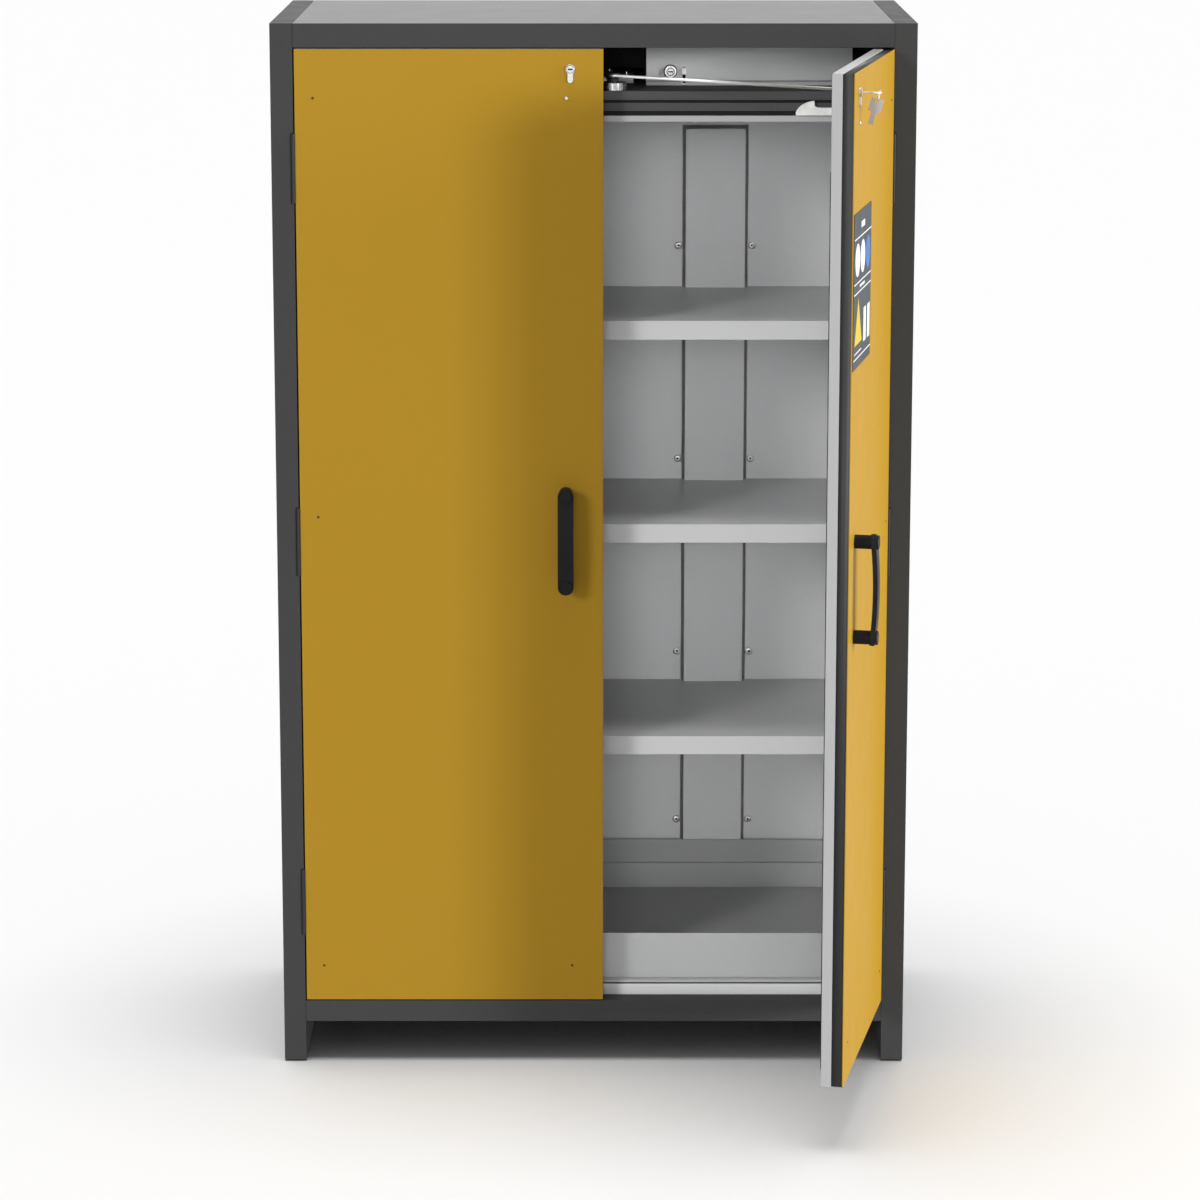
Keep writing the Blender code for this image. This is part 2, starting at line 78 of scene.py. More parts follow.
def noise(tree, scale, detail, stretch=None, seed=0.0):
    """A noise texture in the object's own coordinates; stretch scales them first."""
    place = tree.nodes.new("ShaderNodeTexCoord")
    mapping = tree.nodes.new("ShaderNodeMapping")
    mapping.inputs["Location"].default_value = (seed, seed * 0.7, seed * 1.3)
    if stretch:
        mapping.inputs["Scale"].default_value = stretch
    tree.links.new(place.outputs["Object"], mapping.inputs["Vector"])
    texture = tree.nodes.new("ShaderNodeTexNoise")
    texture.inputs["Scale"].default_value = scale
    texture.inputs["Detail"].default_value = detail
    tree.links.new(mapping.outputs["Vector"], texture.inputs["Vector"])
    return texture.outputs["Fac"]


def ranged(tree, value, low, high, start=0.3, end=0.7):
    """value from start to end becomes low to high; noise seldom leaves 0.3 to 0.7."""
    step = tree.nodes.new("ShaderNodeMapRange")
    step.inputs["From Min"].default_value = start
    step.inputs["From Max"].default_value = end
    step.inputs["To Min"].default_value = low
    step.inputs["To Max"].default_value = high
    tree.links.new(value, step.inputs["Value"])
    return step.outputs["Result"]


def tinted(tree, factor, dark, light):
    """A colour between dark, where factor is 0, and light, where it is 1."""
    mix = tree.nodes.new("ShaderNodeMix")
    mix.data_type = "RGBA"
    mix.inputs["A"].default_value = (*dark, 1)
    mix.inputs["B"].default_value = (*light, 1)
    tree.links.new(factor, mix.inputs["Factor"])
    return mix.outputs["Result"]


def bumped(tree, shader, height, distance, strength=1.0):
    bump = tree.nodes.new("ShaderNodeBump")
    bump.inputs["Strength"].default_value = strength
    bump.inputs["Distance"].default_value = distance
    tree.links.new(height, bump.inputs["Height"])
    tree.links.new(bump.outputs["Normal"], shader.inputs["Normal"])


def scaled(colour, factor):
    return tuple(min(channel * factor, 1.0) for channel in colour)


def coating(name, colour, roughness, gloss, grain=900.0, grain_tint=0.035, peel=450.0, peel_depth=0.00012,
            drift=0.02, patchy=0.04):
    """Powder coat, board or film: a fine grain, a slow drift in colour and roughness, and an orange peel.

    grain and peel are noise scales, grain_tint and drift shares of the colour, patchy a spread of roughness.
    """
    made, tree, shader = new_material(name)
    fine = ranged(tree, noise(tree, grain, 2.0), 0.0, 1.0)
    slow = ranged(tree, noise(tree, 2.2, 3.0, seed=3.1), 0.0, 1.0)
    speckle = tinted(tree, fine, scaled(colour, 1 - grain_tint), scaled(colour, 1 + grain_tint))
    wash = tinted(tree, slow, (1 - drift,) * 3, (1.0,) * 3)
    multiply = tree.nodes.new("ShaderNodeMix")
    multiply.data_type = "RGBA"
    multiply.blend_type = "MULTIPLY"
    multiply.inputs["Factor"].default_value = 1.0
    tree.links.new(speckle, multiply.inputs["A"])
    tree.links.new(wash, multiply.inputs["B"])
    tree.links.new(multiply.outputs["Result"], shader.inputs["Base Color"])
    tree.links.new(ranged(tree, noise(tree, 14.0, 4.0, seed=7.7), roughness - patchy, roughness + patchy),
                   shader.inputs["Roughness"])
    shader.inputs["Specular IOR Level"].default_value = gloss
    bumped(tree, shader, noise(tree, peel, 1.5, seed=1.9), peel_depth, 0.5)
    return made


def steel(name, colour, roughness, stretch):
    """Brushed or ground steel: streaks across one axis in roughness and surface."""
    made, tree, shader = new_material(name)
    shader.inputs["Metallic"].default_value = 1.0
    streaks = noise(tree, 60.0, 6.0, stretch)
    tree.links.new(tinted(tree, ranged(tree, streaks, 0.0, 1.0), scaled(colour, 0.86), scaled(colour, 1.08)),
                   shader.inputs["Base Color"])
    tree.links.new(ranged(tree, streaks, roughness - 0.07, roughness + 0.09), shader.inputs["Roughness"])
    bumped(tree, shader, streaks, 0.00008, 0.4)
    return made


def moulded(name, colour, roughness, texture=1500.0, depth=0.00012, gloss=0.5):
    """Moulded plastic or rubber with a fine etched surface and slight handling marks."""
    made, tree, shader = new_material(name)
    marks = noise(tree, 45.0, 5.0, seed=5.3)
    tree.links.new(tinted(tree, ranged(tree, marks, 0.0, 1.0), scaled(colour, 0.85), scaled(colour, 1.15)),
                   shader.inputs["Base Color"])
    tree.links.new(ranged(tree, marks, roughness - 0.06, roughness + 0.08), shader.inputs["Roughness"])
    shader.inputs["Specular IOR Level"].default_value = gloss
    bumped(tree, shader, noise(tree, texture, 2.0), depth, 0.6)
    return made


TEXTURED = {"grain": 1300.0, "grain_tint": 0.30, "peel": 900.0, "drift": 0.04}
FIBROUS = {"grain_tint": 0.18, "peel": 700.0}
PRINTED = {"grain": 500.0, "peel": 150.0}

YELLOW = coating("yellow_powder_coat", (0.245, 0.141, 0.0135), 0.40, 0.012, peel=420.0, peel_depth=0.00018)
ANTHRACITE = coating("anthracite_texture_coat", (0.035, 0.035, 0.035), 0.46, 0.05, peel_depth=0.00030,
                     **TEXTURED)
ROOF = coating("roof_texture_coat", (0.033, 0.033, 0.033), 0.30, 0.145, peel_depth=0.00020, patchy=0.01,
               **TEXTURED)
LINING = coating("lining_laminate", (0.57, 0.573, 0.577), 0.42, 0.22, grain=700.0, grain_tint=0.05,
                 peel=500.0, peel_depth=0.00010, drift=0.03)
SHEET = coating("light_grey_powder_coat", (0.365, 0.368, 0.37), 0.34, 0.24, peel_depth=0.00014, patchy=0.015)
TRAY = coating("tray_powder_coat", (0.30, 0.303, 0.305), 0.30, 0.50, drift=0.01, patchy=0.01)
SHELF = coating("shelf_powder_coat", (0.48, 0.483, 0.485), 0.32, 0.22, grain_tint=0.03, peel_depth=0.00010,
                drift=0.01, patchy=0.005)
INSERT = coating("insert_powder_coat", (0.34, 0.342, 0.344), 0.34, 0.12, patchy=0.015)
PAN = coating("door_pan_coat", (0.27, 0.272, 0.274), 0.30, 0.45, peel_depth=0.00014, patchy=0.01)
BOARD = coating("dark_fire_board", (0.068, 0.068, 0.069), 0.70, 0.10, peel_depth=0.0002, drift=0.06,
                **FIBROUS)
CORE = coating("door_core_board", (0.015, 0.015, 0.0153), 0.58, 0.30, peel_depth=0.0001, drift=0.04,
               patchy=0.02, **FIBROUS)
HINGE_STEEL = coating("dark_hinge_coat", (0.022, 0.022, 0.0225), 0.48, 0.12, grain=1100.0, grain_tint=0.15,
                      peel=700.0, drift=0.05)
LABEL = coating("label_film", (0.036, 0.041, 0.046), 0.40, 0.03, grain_tint=0.04, peel_depth=0.00005,
                drift=0.03, **PRINTED)
PALE_PRINT = coating("pale_print", (0.42, 0.42, 0.42), 0.40, 0.03, grain_tint=0.03, peel_depth=0.00004,
                     **PRINTED)
BLUE_PRINT = coating("blue_print", (0.045, 0.100, 0.25), 0.40, 0.03, grain_tint=0.04, peel_depth=0.00004,
                     **PRINTED)
YELLOW_PRINT = coating("yellow_print", (0.34, 0.26, 0.025), 0.40, 0.03, grain_tint=0.04, peel_depth=0.00004,
                       **PRINTED)
BLACK = moulded("black_nylon", (0.009, 0.009, 0.0095), 0.45, gloss=0.06)
RUBBER = moulded("seal_rubber", (0.012, 0.012, 0.012), 0.72, texture=800.0, depth=0.0003, gloss=0.1)
# Grey for painted shade in the grooves round the duct covers and in the gap over the housing's flange.
GAP_SHADE = moulded("painted_gap_shade", (0.20, 0.20, 0.202), 0.65, texture=800.0, depth=0.0002, gloss=0.1)
WHITE = moulded("white_nylon", (0.72, 0.72, 0.70), 0.38)
ZINC = steel("zinc_plated_rod", (0.60, 0.60, 0.59), 0.46, (1, 1, 9))
BRIGHT = steel("bright_steel", (0.62, 0.62, 0.63), 0.24, (20, 1, 1))
NICKEL = steel("satin_nickel", (0.54, 0.53, 0.52), 0.36, (1, 1, 22))
KEY_STEEL = steel("worn_key_steel", (0.35, 0.335, 0.345), 0.44, (1, 1, 22))

SLOT_MATERIALS = {
    "door_paint": YELLOW, "frame_paint": ANTHRACITE, "lining": LINING, "sheet_grey": SHEET,
    "dark_board": BOARD, "black_plastic": BLACK, "hinge_steel": HINGE_STEEL, "bright_steel": BRIGHT,
    "white_plastic": WHITE, "label": LABEL}
OWN_MATERIALS = {       # nodes that differ from the rest of their slot
    "shelf_1": SHELF, "shelf_2": SHELF, "shelf_3": SHELF, "sump_insert": INSERT, "sump_tray": TRAY,
    "roof_panel": ROOF, "lining_ceiling": SHEET, "closer_rod": ZINC,
    "door_pan_left": PAN, "door_pan_right": PAN, "door_core_left": CORE, "door_core_right": CORE,
    "lock_cylinder_left": NICKEL, "lock_cylinder_right": NICKEL, "lock_plug_left": NICKEL,
    "lock_plug_right": NICKEL, "key": NICKEL, "key_ring": NICKEL, "spare_key": KEY_STEEL}
FOLDED_EDGE = 0.0006
EDGE_RADIUS = {
    "door_face_left": FOLDED_EDGE, "door_face_right": FOLDED_EDGE, "mechanism_housing": FOLDED_EDGE,
    "shelf_1": FOLDED_EDGE, "shelf_2": FOLDED_EDGE, "shelf_3": FOLDED_EDGE,
    "sump_tray": FOLDED_EDGE, "sump_insert": FOLDED_EDGE, "handle_left": 0.0028, "handle_right": 0.0028,
    "duct_cover_left": 0.0015, "duct_cover_right": 0.0015, "release_knob": 0.0012, "closer_roller": 0.0012,
    "label_plate": 0.0003, "key_ring": 0, "closer_rod": 0, "door_core_left": 0, "door_core_right": 0}
PLAIN_EDGE = 0.0010
THIN_EDGE = 0.0003
SMALL_NODES = ("hinge_", "lock_", "key", "spare", "closer_", "hold_")
WELD_GAP = 0.00001
SHARP = math.radians(35)                        # faces that meet at more than this keep a hard edge
ROUNDED = math.radians(50)                      # and those at more than this are rounded


def soften(piece, radius, segments=2):
    """Weld, then round the sharp edges, so that they catch the light as folded sheet and mouldings do."""
    weld = piece.modifiers.new("weld", "WELD")
    weld.merge_threshold = WELD_GAP
    if radius:
        edge = piece.modifiers.new("edges", "BEVEL")
        edge.width = radius
        edge.segments = segments
        edge.limit_method = "ANGLE"
        edge.angle_limit = ROUNDED
        edge.face_strength_mode = "FSTR_AFFECTED"
        flat = piece.modifiers.new("flat_faces", "WEIGHTED_NORMAL")
        flat.use_face_influence = True
        flat.keep_sharp = True


def finish_cad_nodes():
    """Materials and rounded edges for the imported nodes."""
    slots = {row["node"]: row["material_slot"] for row in frame["record"]["subparts"]}
    for name, piece in NODES.items():
        piece.data.materials.clear()
        piece.data.materials.append(OWN_MATERIALS.get(name, SLOT_MATERIALS[slots[name]]))
        usual = THIN_EDGE if name.startswith(SMALL_NODES) else PLAIN_EDGE
        soften(piece, EDGE_RADIUS.get(name, usual))
        piece.data.shade_smooth()
        piece.data.set_sharp_from_angle(angle=SHARP)


# Small parts that ride on the CAD bodies

def piece_from(name, bm, material, body, shut=False, radius=0.0, segments=2):
    """A new piece from a bmesh drawn in the frame; shut pieces are drawn on the right door, shut."""
    if shut:
        bm.transform(SHUT_TO_OPEN)
    mesh = bpy.data.meshes.new(name)
    bm.to_mesh(mesh)
    bm.free()
    mesh.shade_smooth()
    mesh.set_sharp_from_angle(angle=SHARP)
    mesh.materials.append(material)
    made = bpy.data.objects.new(name, mesh)
    bpy.context.scene.collection.objects.link(made)
    if radius:
        soften(made, radius, segments)
    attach(made, body)


def put_box(bm, low, high):
    """An upright box between two opposite corners."""
    middle = (Vector(low) + Vector(high)) / 2
    size = Vector(high) - Vector(low)
    bmesh.ops.create_cube(bm, size=1, matrix=Matrix.LocRotScale(middle, None, size))


FACING = Matrix.Rotation(math.pi / 2, 4, "X")   # turns +z of a lathed form to -y, out of the front
INWARD = Matrix.Rotation(-math.pi / 2, 4, "X")  # turns it to +y
UPWARD = Matrix.Identity(4)


def put_lathed(bm, place, profile, sides=32, turn=FACING):
    """A closed turned form: profile holds (radius, height) pairs, the first and last on the axis."""
    rings = []
    start = Matrix.Translation(place) @ turn
    for radius, height in profile:
        if radius == 0:
            rings.append([bm.verts.new(start @ Vector((0, 0, height)))])
            continue
        angles = [math.tau * i / sides for i in range(sides)]
        rings.append([bm.verts.new(start @ Vector((radius * math.cos(a), radius * math.sin(a), height)))
                      for a in angles])
    for lower, upper in zip(rings, rings[1:]):
        for i in range(sides):
            j = (i + 1) % sides
            corners = list(dict.fromkeys((lower[i % len(lower)], lower[j % len(lower)],
                                          upper[j % len(upper)], upper[i % len(upper)])))
            if len(corners) > 2:
                bm.faces.new(corners)
    bmesh.ops.recalc_face_normals(bm, faces=bm.faces)


def put_ring(bm, points, radius, sides):
    """A round wire through points and back to the first."""
    rings = []
    count = len(points)
    for i, point in enumerate(points):
        along = (points[(i + 1) % count] - points[i - 1]).normalized()
        side = along.orthogonal().normalized() if i == 0 else (side - along * side.dot(along)).normalized()
        other = along.cross(side)
        rings.append([bm.verts.new(point + radius * (math.cos(a) * side + math.sin(a) * other))
                      for a in [math.tau * k / sides for k in range(sides)]])
    for here, there in zip(rings, rings[1:] + rings[:1]):
        for k in range(sides):
            bm.faces.new((here[k], here[(k + 1) % sides], there[(k + 1) % sides], there[k]))
    bmesh.ops.recalc_face_normals(bm, faces=bm.faces)


def circle(x, y, z, radius, count):
    """Points round an upright circle that faces the front."""
    angles = [math.tau * i / count for i in range(count)]
    return [Vector((x + radius * math.cos(a), y, z + radius * math.sin(a))) for a in angles]


SCREW_ASIDE = 0.0140                            # from a duct cover's edge to its screws
SCREW_RISES = (0.0415, 0.386, 0.774, 1.195)     # above the cover's foot
PAN_HEAD = [(0.0, 0.0), (0.0074, 0.0), (0.0074, 0.0010), (0.0064, 0.0020), (0.0046, 0.0026),
            (0.0030, 0.0028), (0.0028, 0.0008), (0.0, 0.0006)]
# a black cone set in each screw's socket, painted shade of the recess
SOCKET_SHADE = [(0.0, 0.0), (0.0027, 0.0), (0.0, 0.0004)]


def lining_screws():
    """Pan-head screws beside the duct covers, with black cones in their sockets as painted shade."""
    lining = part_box("lining_back")[0].y
    bm, dark = bmesh.new(), bmesh.new()
    for cover in ("duct_cover_left", "duct_cover_right"):
        low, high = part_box(cover)
        for x in (low.x - SCREW_ASIDE, high.x + SCREW_ASIDE):
            for rise in SCREW_RISES:
                put_lathed(bm, (x, lining - 0.0002, low.z + rise), PAN_HEAD, 24)
                put_lathed(dark, (x, lining - 0.0009, low.z + rise), SOCKET_SHADE, 12)
    piece_from("lining_screws", bm, ZINC, "cabinet")
    piece_from("lining_screw_socket_shade", dark, BLACK, "cabinet")


def duct_groove_shades():
    """Grey strips in the grooves round the duct covers, standing as painted shade of the grooves."""
    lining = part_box("lining_back")[0].y
    for side, cover in (("left", "duct_cover_left"), ("right", "duct_cover_right")):
        low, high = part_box(cover)
        near, far = 0.0004, 0.0057
        y0, y1 = lining + 0.0010, lining + 0.0037
        bm = bmesh.new()
        put_box(bm, (low.x - far, y0, low.z), (low.x - near, y1, high.z + far))
        put_box(bm, (high.x + near, y0, low.z), (high.x + far, y1, high.z + far))
        put_box(bm, (low.x - near, y0, high.z + near), (high.x + near, y1, high.z + far))
        piece_from(f"duct_groove_shade_{side}", bm, GAP_SHADE, "cabinet")


def housing_foot():
    """The flange at the foot of the release cover, under a grey strip of painted gap shade, open at the hold-open
    tab.
    """
    low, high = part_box("mechanism_housing")
    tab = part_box("hold_open_tab")
    flange, gap_shade = bmesh.new(), bmesh.new()
    for x0, x1 in ((low.x, tab[0].x - 0.0025), (tab[1].x + 0.0025, high.x)):
        put_box(flange, (x0, low.y - 0.0030, low.z), (x1, low.y - 0.0002, low.z + 0.0062))
        put_box(gap_shade, (x0, low.y - 0.0008, low.z + 0.0063), (x1, low.y - 0.0001, low.z + 0.0092))
    piece_from("housing_flange", flange, SHEET, "cabinet", radius=0.0004)
    piece_from("housing_gap_shade", gap_shade, GAP_SHADE, "cabinet")


SEAL_FOOT = 0.150                               # the side strips' lower end


def seals():
    """Strips that swell in a fire, between the ceiling boards and along the floor and side linings, and the
    pale runner under the tray."""
    ceiling, board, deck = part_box("lining_ceiling"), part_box("ceiling_board"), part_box("mechanism_deck")
    floor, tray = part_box("lining_floor"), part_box("sump_tray")
    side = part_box("lining_right")
    bm = bmesh.new()
    for low_z, high_z in ((ceiling[1].z, board[0].z), (board[1].z, deck[0].z)):
        put_box(bm, (ceiling[0].x, ceiling[0].y + 0.0015, low_z + 0.0001),
                (ceiling[1].x, ceiling[0].y + 0.03, high_z - 0.0001))
    put_box(bm, (floor[0].x, floor[0].y + 0.003, floor[1].z + 0.0001),
            (floor[1].x, floor[0].y + 0.03, floor[1].z + 0.0022))
    for sign in (-1, 1):
        ends = sorted((sign * (side[0].x + 0.002), sign * (side[1].x - 0.002)))
        put_box(bm, (ends[0], side[0].y - 0.0080, SEAL_FOOT), (ends[1], side[0].y - 0.0002, ceiling[0].z))
    piece_from("frame_seals", bm, RUBBER, "cabinet", radius=0.0006)
    runner = bmesh.new()
    put_box(runner, (floor[0].x, floor[0].y + 0.002, floor[1].z + 0.0025),
            (floor[1].x, tray[1].y, tray[0].z - 0.0002))
    piece_from("sump_runner", runner, SHEET, "cabinet", radius=0.0006)


CLIP_WIDE, CLIP_DROP, CLIP_REACH, CLIP_THICK = 0.022, 0.030, 0.016, 0.0018
CLIP_SCREW = [(0.0, 0.0), (0.0050, 0.0), (0.0048, 0.0014), (0.0030, 0.0026), (0.0, 0.0029)]
CLIP_SCREW_DROP = 0.018


def shelf_clips():
    """Bent brackets under the shelf ends, each with a screw."""
    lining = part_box("lining_right")[0].x
    for number in (1, 2, 3):
        low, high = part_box(f"shelf_{number}")
        bm, screws = bmesh.new(), bmesh.new()
        for sign in (-1, 1):
            wall = sign * (lining - 0.0002)
            for y in (low.y + 0.045, high.y - 0.065):
                top = low.z - 0.0004
                ends = sorted((wall, wall - sign * CLIP_THICK))
                put_box(bm, (ends[0], y, low.z - CLIP_DROP), (ends[1], y + CLIP_WIDE, top))
                ends = sorted((wall - sign * 0.0010, wall - sign * CLIP_REACH))
                put_box(bm, (ends[0], y, top - CLIP_THICK), (ends[1], y + CLIP_WIDE, top))
                put_lathed(screws, (wall - sign * 0.0016, y + CLIP_WIDE / 2, low.z - CLIP_SCREW_DROP),
                           CLIP_SCREW, 16, Matrix.Rotation(-sign * math.pi / 2, 4, "Y"))
        piece_from(f"shelf_clips_{number}", bm, BRIGHT, "cabinet", radius=0.0004)
        piece_from(f"shelf_clip_screws_{number}", screws, BRIGHT, "cabinet")


def extruded_outline(bm, points, y0, y1):
    """A closed outline in x and z between two planes of y."""
    front = [bm.verts.new((x, y0, z)) for x, z in points]
    back = [bm.verts.new((x, y1, z)) for x, z in points]
    bm.faces.new(front)
    bm.faces.new(back[::-1])
    for i in range(len(points)):
        j = (i + 1) % len(points)
        bm.faces.new((front[j], front[i], back[i], back[j]))
    bmesh.ops.recalc_face_normals(bm, faces=bm.faces)


CATCH_RAMP = [(0.404 + 0.038 * math.cos(a), -0.0090 + 0.0262 * math.sin(a))
              for a in [math.radians(172 - 11 * i) for i in range(8)]]
CATCH_TAIL = [(0.4010, 0.0075), (0.4060, 0.0055), (0.4150, 0.0048), (0.450, 0.0048), (0.450, -0.0095),
              (0.367, -0.0095)]


def door_catches():
    """White nylon catches in front of the ceiling board: a rounded ramp, a sharp peak, a notch and a bar."""
    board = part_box("ceiling_board")
    for name, _, sign in LEAVES:
        points = [(sign * x, board[0].z + 0.002 + z) for x, z in CATCH_RAMP + CATCH_TAIL]
        bm = bmesh.new()
        extruded_outline(bm, points, board[0].y - 0.0078, board[0].y - 0.0003)
        piece_from(f"door_catch_{name}", bm, WHITE, "cabinet", radius=0.0011, segments=3)


RIVET = [(0.0, 0.0), (0.0023, 0.0), (0.0020, 0.0006), (0.0, 0.0009)]
RIVET_HEIGHTS = (0.188, 1.0455, 1.814)
RIVET_FROM_FREE, RIVET_FROM_HINGE = 0.0577, 0.033
STUD = [(0.0, 0.0), (0.0036, 0.0), (0.0036, 0.0008), (0.0028, 0.0020), (0.0, 0.0024)]
STUD_HEIGHT, STUD_FROM_FREE = 1.8137, 0.0664
DOOR_SEAL, SEAL_FROM_FREE, SEAL_WIDE = (0.149, 1.737), 0.010, 0.014     # its foot and top, metres


def door_trim():
    """Rivets and a stud on each leaf's front, and a rubber seal inside along its free edge."""
    for end, body, sign in LEAVES:
        shut = end == "right"
        face, pan = leaf_box(f"door_face_{end}", end), leaf_box(f"door_pan_{end}", end)
        free, hinge = (face[0].x, face[1].x) if shut else (face[1].x, face[0].x)
        places = [(free + sign * RIVET_FROM_FREE, RIVET_HEIGHTS[0])]
        places += [(hinge - sign * RIVET_FROM_HINGE, z) for z in RIVET_HEIGHTS]
        bm = bmesh.new()
        for x, z in places:
            put_lathed(bm, (x, FRONT - 0.0001, z), RIVET, 16)
        piece_from(f"door_rivets_{end}", bm, HINGE_STEEL, body, shut)
        bm = bmesh.new()
        put_lathed(bm, (free + sign * STUD_FROM_FREE, FRONT - 0.0001, STUD_HEIGHT), STUD, 24)
        piece_from(f"door_stud_{end}", bm, NICKEL, body, shut)
        back = pan[1].y
        edge = sorted((free + sign * SEAL_FROM_FREE, free + sign * (SEAL_FROM_FREE + SEAL_WIDE)))
        foot, top = DOOR_SEAL
        bm = bmesh.new()
        put_box(bm, (edge[0], back + 0.0001, foot), (edge[1], back + 0.0022, top))
        put_box(bm, (edge[0] + 0.004, back + 0.0020, foot + 0.003),
                (edge[1] - 0.004, back + 0.0034, top - 0.003))
        piece_from(f"door_seal_{end}", bm, RUBBER, body, shut, radius=0.0006)


def knob_ring():
    """The black ring round the release knob; on its face a bar, and a black ring as painted shade of the groove.
    """
    knob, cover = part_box("release_knob"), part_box("mechanism_housing")
    middle = (knob[0] + knob[1]) / 2
    bm = bmesh.new()
    put_ring(bm, circle(middle.x, cover[0].y - 0.0030, middle.z, 0.0119, 48), 0.0008, 10)
    piece_from("knob_ring", bm, BLACK, "cabinet")
    bm = bmesh.new()
    put_ring(bm, circle(middle.x, knob[0].y - 0.0001, middle.z, 0.0066, 48), 0.0007, 8)
    put_box(bm, (middle.x - 0.0046, knob[0].y - 0.0005, middle.z - 0.0010),
            (middle.x + 0.0046, knob[0].y + 0.0012, middle.z + 0.0010))
    piece_from("knob_bar_and_groove_shade", bm, BLACK, "knob")


CAP = [(0.0, -0.0020), (0.0126, -0.0020), (0.0126, 0.0008), (0.0118, 0.0016), (0.0108, 0.0016),
       (0.0104, 0.0010), (0.0, 0.0012)]


def handle_caps():
    """Round caps that cover the screws at the ends of each handle."""
    for end, body, _ in LEAVES:
        low, high = leaf_box(f"handle_{end}", end)
        middle, half = (low.x + high.x) / 2, (high.x - low.x) / 2
        bm = bmesh.new()
        for z in (low.z + half, high.z - half):
            put_lathed(bm, (middle, low.y + 0.0020, z), CAP, 40)
        piece_from(f"handle_caps_{end}", bm, BLACK, body, end == "right")


def lock_shades():
    """Painted shade: a black ring in the gap round each lock's plug, and a black block deep in the empty keyway.
    """
    for end, body, _ in LEAVES:
        low, high = leaf_box(f"lock_plug_{end}", end)
        middle = (low + high) / 2
        bm = bmesh.new()
        put_ring(bm, circle(middle.x, low.y + 0.0010, middle.z, 0.0067, 40), 0.0007, 8)
        piece_from(f"lock_gap_shade_{end}", bm, BLACK, body, end == "right")
        if end == "left":
            bm = bmesh.new()
            put_box(bm, (middle.x - 0.0044, low.y + 0.0008, middle.z - 0.0013),
                    (middle.x + 0.0044, low.y + 0.0030, middle.z + 0.0013))
            piece_from("keyway_shade", bm, BLACK, "left_lock")


# The label's print: spans of its width, then of its height.
RULES = [(0.02, 0.98, 0.831, 0.839), (0.02, 0.98, 0.544, 0.552), (0.02, 0.98, 0.480, 0.488),
         (0.02, 0.98, 0.060, 0.068), (0.06, 0.46, 0.096, 0.104)]
BARS = [(0.40, 0.60, 0.885, 0.925), (0.34, 0.62, 0.508, 0.524), (0.58, 0.72, 0.13, 0.35),
        (0.80, 0.94, 0.13, 0.35)]
DISC = [(0.0, 0.0), (0.0285, 0.0), (0.0285, 0.0005), (0.0, 0.0006)]
DISCS_UP = 0.695
TRIANGLE_AT, TRIANGLE_UP, TRIANGLE_RADIUS = 0.27, 0.25, 0.052
PRINT_OUT, PRINT_IN = 0.0004, 0.0002            # how far print stands out of the plate, and goes into it


def label():
    """A plain plate with rules, bars, three discs and a triangle, and no lettering."""
    low, high = shut_box("label_plate")
    wide, tall, front = high.x - low.x, high.z - low.z, low.y
    for name, spans in (("label_rules", RULES), ("label_bars", BARS)):
        bm = bmesh.new()
        for u0, u1, v0, v1 in spans:
            put_box(bm, (low.x + u0 * wide, front - PRINT_OUT, low.z + v0 * tall),
                    (low.x + u1 * wide, front + PRINT_IN, low.z + v1 * tall))
        piece_from(name, bm, PALE_PRINT, "right_door", True)
    for name, at, material in (("a", 0.20, PALE_PRINT), ("b", 0.50, PALE_PRINT), ("c", 0.80, BLUE_PRINT)):
        bm = bmesh.new()
        put_lathed(bm, (low.x + at * wide, front + 0.0001, low.z + DISCS_UP * tall), DISC, 48)
        piece_from(f"label_disc_{name}", bm, material, "right_door", True)
    bm = bmesh.new()
    x, z = low.x + TRIANGLE_AT * wide, low.z + TRIANGLE_UP * tall
    corners = [(x + TRIANGLE_RADIUS * math.cos(a), z + TRIANGLE_RADIUS * math.sin(a))
               for a in [math.radians(90 + 120 * i) for i in range(3)]]
    extruded_outline(bm, corners, front - PRINT_OUT, front + PRINT_IN)
    piece_from("label_triangle", bm, YELLOW_PRINT, "right_door", True)


SPINDLE_CAP = [(0.0, 0.0), (0.0085, 0.0), (0.0085, 0.0022), (0.0070, 0.0034), (0.0030, 0.0034),
               (0.0026, 0.0020), (0.0, 0.0020)]
BODY_SCREW = [(0.0, 0.0), (0.0045, 0.0), (0.0043, 0.0018), (0.0020, 0.0026), (0.0018, 0.0012), (0.0, 0.0012)]
BRACKET_SCREW = [(0.0, 0.0), (0.0032, 0.0), (0.0030, 0.0012), (0.0, 0.0020)]
SCREW_INSET = 0.012                             # from the closer body's sides


def closer_details():
    """The closer's spindle cap, its body's screws and its bracket's screws."""
    spindle = Vector(JOINTS["closer_arm_turn"]["pos_m"])
    bm = bmesh.new()
    put_lathed(bm, (spindle.x, spindle.y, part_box("closer_arm")[1].z - 0.0021), SPINDLE_CAP, 32, UPWARD)
    piece_from("spindle_cap", bm, BRIGHT, "arm")
    low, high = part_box("closer_body")
    bm = bmesh.new()
    for x in (low.x + SCREW_INSET, high.x - SCREW_INSET):
        for y in (low.y + SCREW_INSET, high.y - SCREW_INSET):
            put_lathed(bm, (x, y, high.z - 0.0002), BODY_SCREW, 20, UPWARD)
    piece_from("closer_screws", bm, BRIGHT, "cabinet")
    low, high = shut_box("closer_bracket")
    bm = bmesh.new()
    for x in (low.x + 0.007, high.x - 0.007):
        for z in (low.z + 0.0035, high.z - 0.005):
            put_lathed(bm, (x, low.y + 0.0028, z), BRACKET_SCREW, 16, INWARD)
    piece_from("bracket_screws", bm, BRIGHT, "right_door", True)


# Light, floor and camera

FLOOR_REACH = 30.0


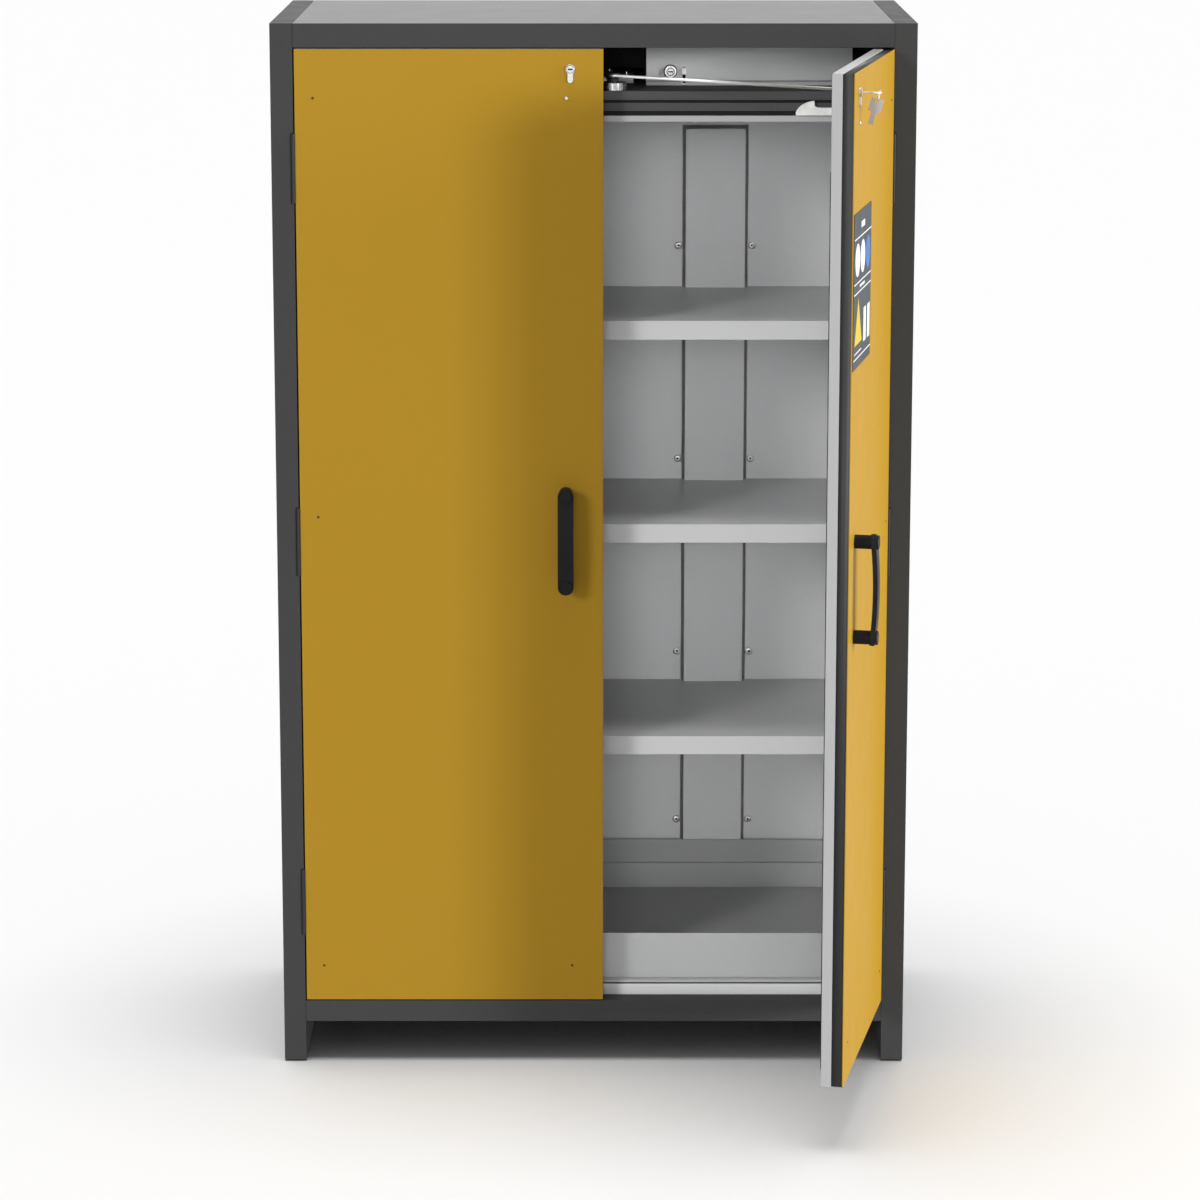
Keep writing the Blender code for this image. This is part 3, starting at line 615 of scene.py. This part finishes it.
def stage():
    """The pale floor."""
    floor = bmesh.new()
    bmesh.ops.create_grid(floor, x_segments=4, y_segments=4, size=FLOOR_REACH)
    mesh = bpy.data.meshes.new("floor")
    floor.to_mesh(mesh)
    floor.free()
    made, _, shader = new_material("pale_floor")
    shader.inputs["Base Color"].default_value = (0.86, 0.86, 0.86, 1)
    shader.inputs["Roughness"].default_value = 0.9
    shader.inputs["Specular IOR Level"].default_value = 0.1
    mesh.materials.append(made)
    ground = bpy.data.objects.new("floor", mesh)
    bpy.context.scene.collection.objects.link(ground)


SUN_AWAY = 8            # where a sun's marker stands; its light does not depend on it


def sun(name, azimuth, elevation, strength, angle, linked=(), state="EXCLUDE", mirrored=True):
    """A sun at an azimuth measured from the front towards the right, all in degrees.

    Pieces in linked are left out, or lit alone where state is INCLUDE. A sun that is not mirrored gives no
    highlights."""
    light = bpy.data.lights.new(name, "SUN")
    light.energy = strength
    light.angle = math.radians(angle)
    lamp = bpy.data.objects.new(name, light)
    a, e = math.radians(azimuth), math.radians(elevation)
    source = Vector((math.sin(a) * math.cos(e), -math.cos(a) * math.cos(e), math.sin(e)))
    lamp.rotation_mode = "QUATERNION"
    lamp.rotation_quaternion = source.to_track_quat("Z", "Y")
    lamp.location = source * SUN_AWAY
    lamp.visible_glossy = mirrored
    bpy.context.scene.collection.objects.link(lamp)
    if linked:
        receivers = bpy.data.collections.new(f"{name}_receivers")
        for piece in linked:
            receivers.objects.link(piece)
        for entry in receivers.collection_objects:
            entry.light_linking.link_state = state
        lamp.light_linking.receiver_collection = receivers


AMBIENT = 0.30
MIRRORED_STRENGTH = (0.22, 1.5)                 # to the front, and to the back


def surroundings():
    """White to the camera, softer as light, and in reflections brighter behind the cabinet than before it."""
    world = bpy.data.worlds.new("studio")
    bpy.context.scene.world = world
    world.use_nodes = True
    tree = world.node_tree
    back = tree.nodes["Background"]
    back.inputs["Color"].default_value = (1, 1, 1, 1)
    back.inputs["Strength"].default_value = AMBIENT
    path = tree.nodes.new("ShaderNodeLightPath")
    place = tree.nodes.new("ShaderNodeTexCoord")
    split = tree.nodes.new("ShaderNodeSeparateXYZ")
    tree.links.new(place.outputs["Generated"], split.inputs["Vector"])
    mirrored = tree.nodes.new("ShaderNodeBackground")
    strength = ranged(tree, split.outputs["Y"], *MIRRORED_STRENGTH, start=0.0, end=0.8)
    tree.links.new(strength, mirrored.inputs["Strength"])
    seen = tree.nodes.new("ShaderNodeBackground")
    seen.inputs["Color"].default_value = (1, 1, 1, 1)
    surface = back.outputs["Background"]
    for ray, shader in (("Is Glossy Ray", mirrored), ("Is Camera Ray", seen)):
        mix = tree.nodes.new("ShaderNodeMixShader")
        tree.links.new(path.outputs[ray], mix.inputs["Fac"])
        tree.links.new(surface, mix.inputs[1])
        tree.links.new(shader.outputs["Background"], mix.inputs[2])
        surface = mix.outputs["Shader"]
    tree.links.new(surface, tree.nodes["World Output"].inputs["Surface"])


CAMERA_AWAY, CAMERA_HEIGHT, CAMERA_TILT = 7.456, 2.502, 11.37       # metres, metres, degrees down
LENS, SENSOR, SHIFT = 124.07, 36.0, (0.0054, -0.05)


def camera():
    """A long lens well in front and above the roof, tilted down, at the photograph's angle."""
    data = bpy.data.cameras.new("camera")
    data.lens = LENS
    data.sensor_width = SENSOR
    data.shift_x, data.shift_y = SHIFT
    data.clip_end = 200
    eye = bpy.data.objects.new("camera", data)
    eye.location = (0, FRONT - CAMERA_AWAY, CAMERA_HEIGHT)
    eye.rotation_euler = (math.radians(90 - CAMERA_TILT), 0, 0)
    bpy.context.scene.collection.objects.link(eye)
    bpy.context.scene.camera = eye


LOW_SUNS = (            # name, azimuth, elevation, strength, angle
    ("key_right", 49, 8, 2.8, 9), ("side_right", 84, 12, 4.6, 20), ("front", -5, 8, 0.55, 14),
    ("key_left", -38, 17, 1.75, 15), ("back", 205, 20, 1.6, 30))


def lights():
    """A sun overhead, one for the pieces inside, and low suns round the cabinet.

    Low suns skip the floor. On the carcass they give no highlights, because its flat top would mirror them to
    a viewer on the far side."""
    floor = bpy.data.objects["floor"]
    carcass = [NODES[name] for name in ("roof_panel", "side_panel_left", "side_panel_right")]
    inside = [bpy.data.objects[name] for name in (
        "lining_back", "lining_left", "lining_right", "lining_screws", "duct_cover_left", "duct_cover_right",
        "mechanism_housing", "sump_tray", "sump_insert", "closer_body", "back_panel")]
    sun("overhead", azimuth=0, elevation=90, strength=2.7, angle=40)
    sun("inside", azimuth=4, elevation=9, strength=0.75, angle=30, linked=inside, state="INCLUDE")
    for name, azimuth, elevation, strength, angle in LOW_SUNS:
        sun(name, azimuth, elevation, strength, angle, [floor, *carcass])
        sun(f"{name}_carcass", azimuth, elevation, strength, angle, carcass, "INCLUDE", mirrored=False)


camera()
finish_cad_nodes()
lining_screws()
duct_groove_shades()
housing_foot()
seals()
shelf_clips()
door_catches()
door_trim()
knob_ring()
handle_caps()
lock_shades()
label()
closer_details()
stage()
surroundings()
lights()
bpy.context.scene.view_settings.view_transform = "Standard"
